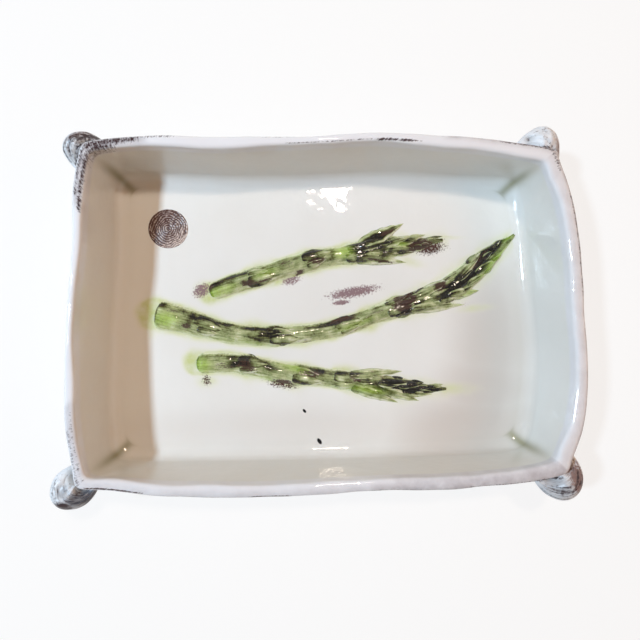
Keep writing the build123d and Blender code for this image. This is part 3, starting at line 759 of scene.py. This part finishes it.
def stampDisc():
    # polar grid: height is a cosine of the radius, swaying with the angle (worn rings), times a cosine of the
    # angle (dashes), sunk at its edge; the wash is speckled and wiped thinner towards the lower right
    r = np.linspace(0.02, 1, 60)[:, None]
    turn = np.linspace(0, 2 * np.pi, 181)[None, :-1]
    x = stamp["centre"][0] + r * stamp["diameter"] / 2 * np.cos(turn)
    y = stamp["centre"][1] + r * stamp["diameter"] / 2 * np.sin(turn)
    sway = 0.5 * np.sin(2 * turn + 4 * r) + 0.35 * np.sin(5 * turn - 7 * r) + 0.6 * handWave(x, y, 9, 77)
    rings = 0.5 + 0.5 * np.cos(2 * np.pi * (stamp["rings"] * r + sway * r))
    dashes = 0.5 + 0.5 * np.cos(turn * np.round(8 + 28 * r) + 9 * r + 5.0 * handWave(x, y, 6, 78))
    top = floorTop + np.where(r > 0.97, -0.3, stamp["relief"] * rings * (0.4 + 0.6 * dashes) + 0.2)
    z = np.concatenate([top + 0 * x, np.full_like(x[-1:], floorTop - 0.6)])
    wiped = softStep(0.1, 0.9, r * np.cos(turn - np.radians(-50)))
    speckle = 0.18 * handWave(x, y, 3, 79)
    worn = np.concatenate([rings * (0.3 + 0.4 * dashes) + 0.4 * wiped + speckle - 0.1, np.zeros((1, 180))])
    x, y = (np.concatenate([p, p[-1:]]) for p in (x, y))
    return closedTube(x, y, z, {"worn": worn})


def startFinish(name, keys, noises, strand=None):
    # a new material with its tree, Object coordinates, a mask for each painted value, and noises given as
    # size in mm, detail and roughness; a strand noise lies along two painted lengths, with its mm on each
    material = bpy.data.materials.new(name)
    tree = emptyTree(material)
    place = addNode(tree, "TexCoord").outputs["Object"]
    maps = {key: addNode(tree, "Attribute", attribute_name=key).outputs["Fac"] for key in keys}
    maps["place"] = place
    for key, (size, detail, rough) in noises.items():
        maps[key] = addNode(tree, "TexNoise", {
            "Vector": place, "Scale": perMm(size), "Detail": detail, "Roughness": rough})
    if strand:
        (along, aside), (length, width), detail = strand
        flat = addNode(tree, "CombineXYZ", {0: maps[along], 1: maps[aside]})
        flat = addNode(tree, "VectorMath", {0: flat, 1: (1 / length, 1 / width, 1)}, operation="MULTIPLY")
        maps["strand"] = addNode(tree, "TexNoise", {"Vector": flat, "Scale": 1.0, "Detail": detail})
    return material, tree, maps


def coverBy(tree, mask, weight, noise, low, high, most):
    # cover from 0 to most while weight times the mask plus the noise goes from low to high
    gate = addNode(tree, "Math", {0: mask, 1: weight, 2: noise}, operation="MULTIPLY_ADD")
    return addNode(tree, "MapRange", {0: gate, 1: low, 2: high, 4: most})


def endFinish(material, colour, layers, inputs, relief=None):
    # layers (cover, tint) mixed over the colour in turn, relief (height, strength, metres), then the shader
    tree = material.node_tree
    for cover, tint in layers:
        colour = addNode(tree, "Mix", {0: cover, 6: colour, 7: tint}, data_type="RGBA")
    inputs["Base Color"] = colour
    if relief:
        inputs["Normal"] = addNode(tree, "Bump", dict(zip(("Height", "Strength", "Distance"), relief)))
    addNode(tree, "OutputMaterial", {"Surface": addNode(tree, "BsdfPrincipled", inputs)})
    return material


# Glazed earthenware, tin-white: brushed-on opaque glaze, glossy, a little uneven, cool where thick
def tinGlaze():
    # layers over white, each by a painted mask that noise breaks up; the peel is glaze that levelled unevenly
    material, tree, maps = startFinish(
        "tinWhiteGlazeOnEarthenware",
        ("stain", "blush", "poolAndShade", "halo", "smudge", "bare", "lip", "run", "rimIn", "paintedShade", "blot"),
        {"cloud": (60, 3.0, 0.5), "mottle": (7, 4.0, 0.5), "dry": (1.4, 4.0, 0.6), "peel": (9, 2.5, 0.5)},
        (("run", "rimIn"), (0.9, 3.0), 3.0))
    white = addNode(tree, "Mix", {0: maps["cloud"], 6: "#E4E3DE", 7: "#EFF0EE"}, data_type="RGBA")
    # mottled: thin green bled out from the spears, mauve wash on the rim
    thin = addNode(tree, "MapRange", {0: maps["mottle"], 1: 0.3, 2: 0.65, 3: 0.45, 4: 1.0})
    bleed = addNode(tree, "Math", {0: maps["halo"], 1: thin}, operation="MULTIPLY")
    green = addNode(tree, "Mix", {0: maps["halo"], 6: "#E8E9CC", 7: "#C9D28E"}, data_type="RGBA")
    mauve = addNode(tree, "Math", {0: maps["blush"], 1: maps["mottle"]}, operation="MULTIPLY")
    # first the bluer glaze, thick on the rim, then painted shade in grey, then olive pooled glaze with
    # painted shade in the corners
    layers = [(maps["lip"], "#EDEEF2"), (maps["paintedShade"], "#C6BDB5"), (maps["poolAndShade"], "#8B8864"),
              (bleed, green), (mauve, "#6E5A62")]
    # dry-brushed brown: speckle on the floor, leaning bristle strokes on the rim
    for key, noise, weight, tint in [("smudge", "dry", 1.3, "#8C7276"), ("blot", "dry", 1.0, "#45241F"),
                                     ("stain", "strand", 1.08, "#371A1C")]:
        broken = addNode(tree, "Math", {0: maps[noise], 1: maps["dry"]}, operation="ADD")
        layers.append((coverBy(tree, maps[key], weight, broken, 1.55, 1.95, 0.97), tint))
    # two drops of black stain on the floor: x, y, half length, half width in mm, turn
    for px, py, length, width, turn in [(-6.4, -91.6, 2.6, 1.4, -55), (-17.4, -69.4, 1.8, 1.0, -50)]:
        local = addNode(tree, "Mapping", {
            "Vector": maps["place"], "Location": (px / 1000, py / 1000, floorTop / 1000),
            "Rotation": (0, 0, np.radians(turn)), "Scale": (length / 1000, width / 1000, 0.004)},
            vector_type="TEXTURE")
        away = addNode(tree, "VectorMath", {0: local}, operation="LENGTH")
        layers.append((addNode(tree, "MapRange", {0: away, 1: 1.1, 2: 0.8}), "#1C1A1B"))
    # unglazed buff clay under the foot
    layers.append((maps["bare"], "#C9B79C"))
    gloss = addNode(tree, "MapRange", {0: maps["bare"], 3: 0.035, 4: 0.75})
    return endFinish(material, white, layers, {"Roughness": gloss, "IOR": 1.5}, (maps["peel"], 0.32, 0.0006))


# Glazed earthenware with oxide wash: the wash stays dark in the grooves, white glaze shows on the ridges
def earGlaze():
    # slate, partly painted shade on the underside, brown and black over bluish white, broken up by grain and
    # by brush marks along the roll
    material, tree, maps = startFinish(
        "oxideWashedGlazeOnEarthenware", ("groove", "rust", "slateAndShade", "along", "aside"),
        {"cloud": (8, 3.0, 0.5), "grain": (1.8, 5.0, 0.5)}, (("along", "aside"), (7, 1), 3.0))
    white = addNode(tree, "Mix", {0: maps["cloud"], 6: "#D3D8DE", 7: "#ECEEF1"}, data_type="RGBA")
    slateAndShade = addNode(tree, "MapRange", {0: maps["strand"], 1: 0.3, 2: 0.7, 3: 0.45, 4: 1.0})
    slateAndShade = addNode(tree, "Math", {0: maps["slateAndShade"], 1: slateAndShade}, operation="MULTIPLY")
    both = addNode(tree, "Math", {0: maps["strand"], 1: maps["grain"]}, operation="ADD")
    umber = addNode(tree, "Mix", {0: maps["grain"], 6: "#34191B", 7: "#A5857C"}, data_type="RGBA")
    layers = [(slateAndShade, "#3E404A"), (coverBy(tree, maps["rust"], 0.95, both, 1.1, 1.7, 0.95), umber),
              (coverBy(tree, maps["groove"], 0.5, both, 1.2, 1.55, 0.93), "#2E1C20")]
    return endFinish(material, white, layers, {"Roughness": 0.34, "IOR": 1.45}, (maps["grain"], 0.25, 0.0005))


# Copper-green glaze over relief: runs off the ridges and pools dark in the hollows, brown oxide at the nodes;
# its tone also holds painted shade on the far edges and painted light on the near ones
def spearGlaze():
    # a ramp of greens read at the painted tone plus strokes along the plant, blotches and grain; the lumps
    # are smooth ones in the thick glaze that catch the lamps
    material, tree, maps = startFinish(
        "copperGreenGlazeOnRelief", ("tone", "umber", "lime", "thin", "along", "aside"),
        {"blotch": (6, 4.0, 0.5), "grain": (1.5, 5.0, 0.65), "lumps": (4, 1.0, 0.5)},
        (("along", "aside"), (12, 1.3), 4.0))
    shade = maps["tone"]
    for key, weight in [("strand", 1.0), ("blotch", 0.85), ("grain", 0.5)]:
        centred = addNode(tree, "Math", {0: maps[key], 1: weight, 2: -weight / 2}, operation="MULTIPLY_ADD")
        shade = addNode(tree, "Math", {0: shade, 1: centred}, operation="ADD")
    green = addNode(tree, "ValToRGB", {"Fac": shade})
    stops = [(0.0, "#17130B"), (0.16, "#302B18"), (0.34, "#5C5E36"), (0.52, "#8A9562"), (0.68, "#A9B080"),
             (0.84, "#C5CA9E"), (1.0, "#DCDEC4")]
    ramp = green.color_ramp.elements
    while len(ramp) < len(stops):
        ramp.new(0.5)
    for element, (at, tint) in zip(ramp, stops):
        element.position = at
        element.color = toLinear(tint)
    lime = addNode(tree, "Math", {0: maps["lime"], 1: maps["strand"]}, operation="MULTIPLY")
    # grey-brown speckle where the wash caught the skin
    spot = addNode(tree, "MapRange", {0: maps["grain"], 1: 0.56, 2: 0.66, 4: 0.5})
    # the paint thins to pale green, then to the white ground, in a ragged edge
    rough = addNode(tree, "Math", {0: maps["grain"], 1: maps["strand"]}, operation="ADD")
    gone = coverBy(tree, rough, 0.8, maps["thin"], 1.25, 1.8, 1.0)
    pale = addNode(tree, "Mix", {0: gone, 6: "#B3C56C", 7: "#DFE4C2"}, data_type="RGBA")
    # brown oxide, darker between the strokes
    oxide = coverBy(tree, maps["umber"], 0.62, rough, 1.28, 1.5, 0.95)
    brown = addNode(tree, "Mix", {0: maps["strand"], 6: "#160E0D", 7: "#593A30"}, data_type="RGBA")
    layers = [(lime, "#A6CC3C"), (spot, "#5F5A42"), (gone, pale), (oxide, brown)]
    return endFinish(material, green, layers, {"Roughness": 0.06, "IOR": 1.6}, (maps["lumps"], 1.0, 0.0005))


# Iron wash rubbed into the stamped rings and wiped off the ridges
def stampWash():
    # brown to bare clay, by the painted wear plus grain
    material, tree, maps = startFinish("ironWashOnStampedClay", ("worn",), {"grain": (1.2, 5.0, 0.7)})
    bare = coverBy(tree, maps["worn"], 0.7, maps["grain"], 0.58, 1.2, 1.0)
    brown = addNode(tree, "Mix", {0: bare, 6: "#482418", 7: "#E8D6CC"}, data_type="RGBA")
    return endFinish(material, brown, [], {"Roughness": 0.3, "IOR": 1.5})


whiteGlaze, washedGlaze, greenGlaze = tinGlaze(), earGlaze(), spearGlaze()
sides = [f"{side}_{part}" for side in ("back", "right", "front", "left") for part in ("wall", "seam_coil")]
makePiece("glazedDish", [dishBody()], whiteGlaze, ["floor_slab"] + sides)
makePiece("stampRoundel", [stampDisc()], stampWash(), [])
for name, spec in ears.items():
    makePiece(name, [rollEar(spec)], washedGlaze, [spec["node"]])
for number, (name, spec) in enumerate(spears.items()):
    seed = 100 + 40 * number
    for part, shapes in [("Stem", [stemTube(spec)]), ("Bracts", bractParts(spec, seed)),
                         ("Bud", budParts(spec, seed + 20))]:
        makePiece(f"{name}Spear{part}", shapes, greenGlaze,
                  [f"{name}_spear_{part.lower()}"])
print("pieces done")


def seenShare(tree):
    # 1 for rays that the camera sees, straight, mirrored or refracted, and 0 for those that only light
    path = addNode(tree, "LightPath")
    seen = path.outputs["Is Camera Ray"]
    for ray in ("Is Glossy Ray", "Is Transmission Ray"):
        seen = addNode(tree, "Math", {0: seen, 1: path.outputs[ray]}, operation="MAXIMUM")
    return seen


# Stage: a pale floor that the camera sees white, with a little of the shadow left in it
stage = {"size": 6.0, "shadow": 0.22}
floorMesh = bpy.data.meshes.new("studioFloor")
half = stage["size"] / 2
floorMesh.from_pydata([(-half, -half, 0), (half, -half, 0), (half, half, 0), (-half, half, 0)], [],
                      [(0, 1, 2, 3)])
studioFloor = bpy.data.objects.new("studioFloor", floorMesh)
bpy.context.scene.collection.objects.link(studioFloor)
paper = bpy.data.materials.new("whitePaper")
tree = emptyTree(paper)
share = addNode(tree, "Math", {0: seenShare(tree), 1: 1 - stage["shadow"]}, operation="MULTIPLY")
matt = addNode(tree, "BsdfDiffuse", {"Color": "#F4F4F4"})
glow = addNode(tree, "Emission", {"Color": (1, 1, 1, 1), "Strength": 1.0})
mixed = addNode(tree, "MixShader", {0: share, 1: matt, 2: glow})
addNode(tree, "OutputMaterial", {"Surface": mixed})
floorMesh.materials.append(paper)

# World: warm light, and seen as white all round, dimmer straight overhead as a studio ceiling is
world = bpy.data.worlds.new("studioWorld")
bpy.context.scene.world = world
tree = emptyTree(world)
ambient = addNode(tree, "Background", {"Color": "#F0C596", "Strength": 0.21})
sky = addNode(tree, "SeparateXYZ", {0: addNode(tree, "TexCoord").outputs["Generated"]})
ceiling = addNode(tree, "MapRange", {0: sky.outputs["Z"], 1: 0.3, 2: 0.8, 3: 1.0, 4: 0.25})
backdrop = addNode(tree, "Background", {"Color": (1, 1, 1, 1), "Strength": ceiling})
mixed = addNode(tree, "MixShader", {0: seenShare(tree), 1: ambient, 2: backdrop})
addNode(tree, "OutputWorld", {"Surface": mixed})

# Lamps: a small cool one from the left, a small warm one high at the back, and a wide warm fill from the
# right, which shades but leaves no patch in the glaze
lamps = {
    "coolLamp": {"towards": (-0.6, 0.05, 0.798), "distance": 1.6, "size": 0.115, "watts": 20.6,
                 "colour": "#CEE9FF", "mirrored": True},
    "backLamp": {"towards": (0.085, 0.35, 0.933), "distance": 1.3, "size": 0.09, "watts": 4.5,
                 "colour": "#FFECD8", "mirrored": True},
    "sideLamp": {"towards": (0.74, 0.06, 0.67), "distance": 1.1, "size": 0.34, "watts": 1.65,
                 "colour": "#FFAC6A", "mirrored": False},
}
for name, spec in lamps.items():
    lamp = bpy.data.lights.new(name, "AREA")
    lamp.size = spec["size"]
    lamp.energy = spec["watts"]
    lamp.color = toLinear(spec["colour"])[:3]
    holder = bpy.data.objects.new(name, lamp)
    towards = Vector(spec["towards"]).normalized()
    holder.location = towards * spec["distance"]
    holder.rotation_euler = towards.to_track_quat("Z", "Y").to_euler()
    holder.visible_glossy = spec["mirrored"]
    bpy.context.scene.collection.objects.link(holder)

# Camera: 28 mm lens, 372 mm over the table, leaning slightly to the right
eye, aim = Vector((-0.029465, -0.00873, 0.372)), Vector((-0.00555, -0.00274, 0.0))
backwards = (eye - aim).normalized()
right = Vector((0, 1, 0)).cross(backwards).normalized()
upward = backwards.cross(right)
cameraData = bpy.data.cameras.new("camera")
cameraData.lens = 28.0
cameraData.sensor_width = 36.0
cameraData.clip_start = 0.01
camera = bpy.data.objects.new("camera", cameraData)
camera.matrix_world = Matrix.Translation(eye) @ Matrix((right, upward, backwards)).transposed().to_4x4()
bpy.context.scene.collection.objects.link(camera)
bpy.context.scene.camera = camera
bpy.context.scene.view_settings.view_transform = "Standard"

print("scene done")
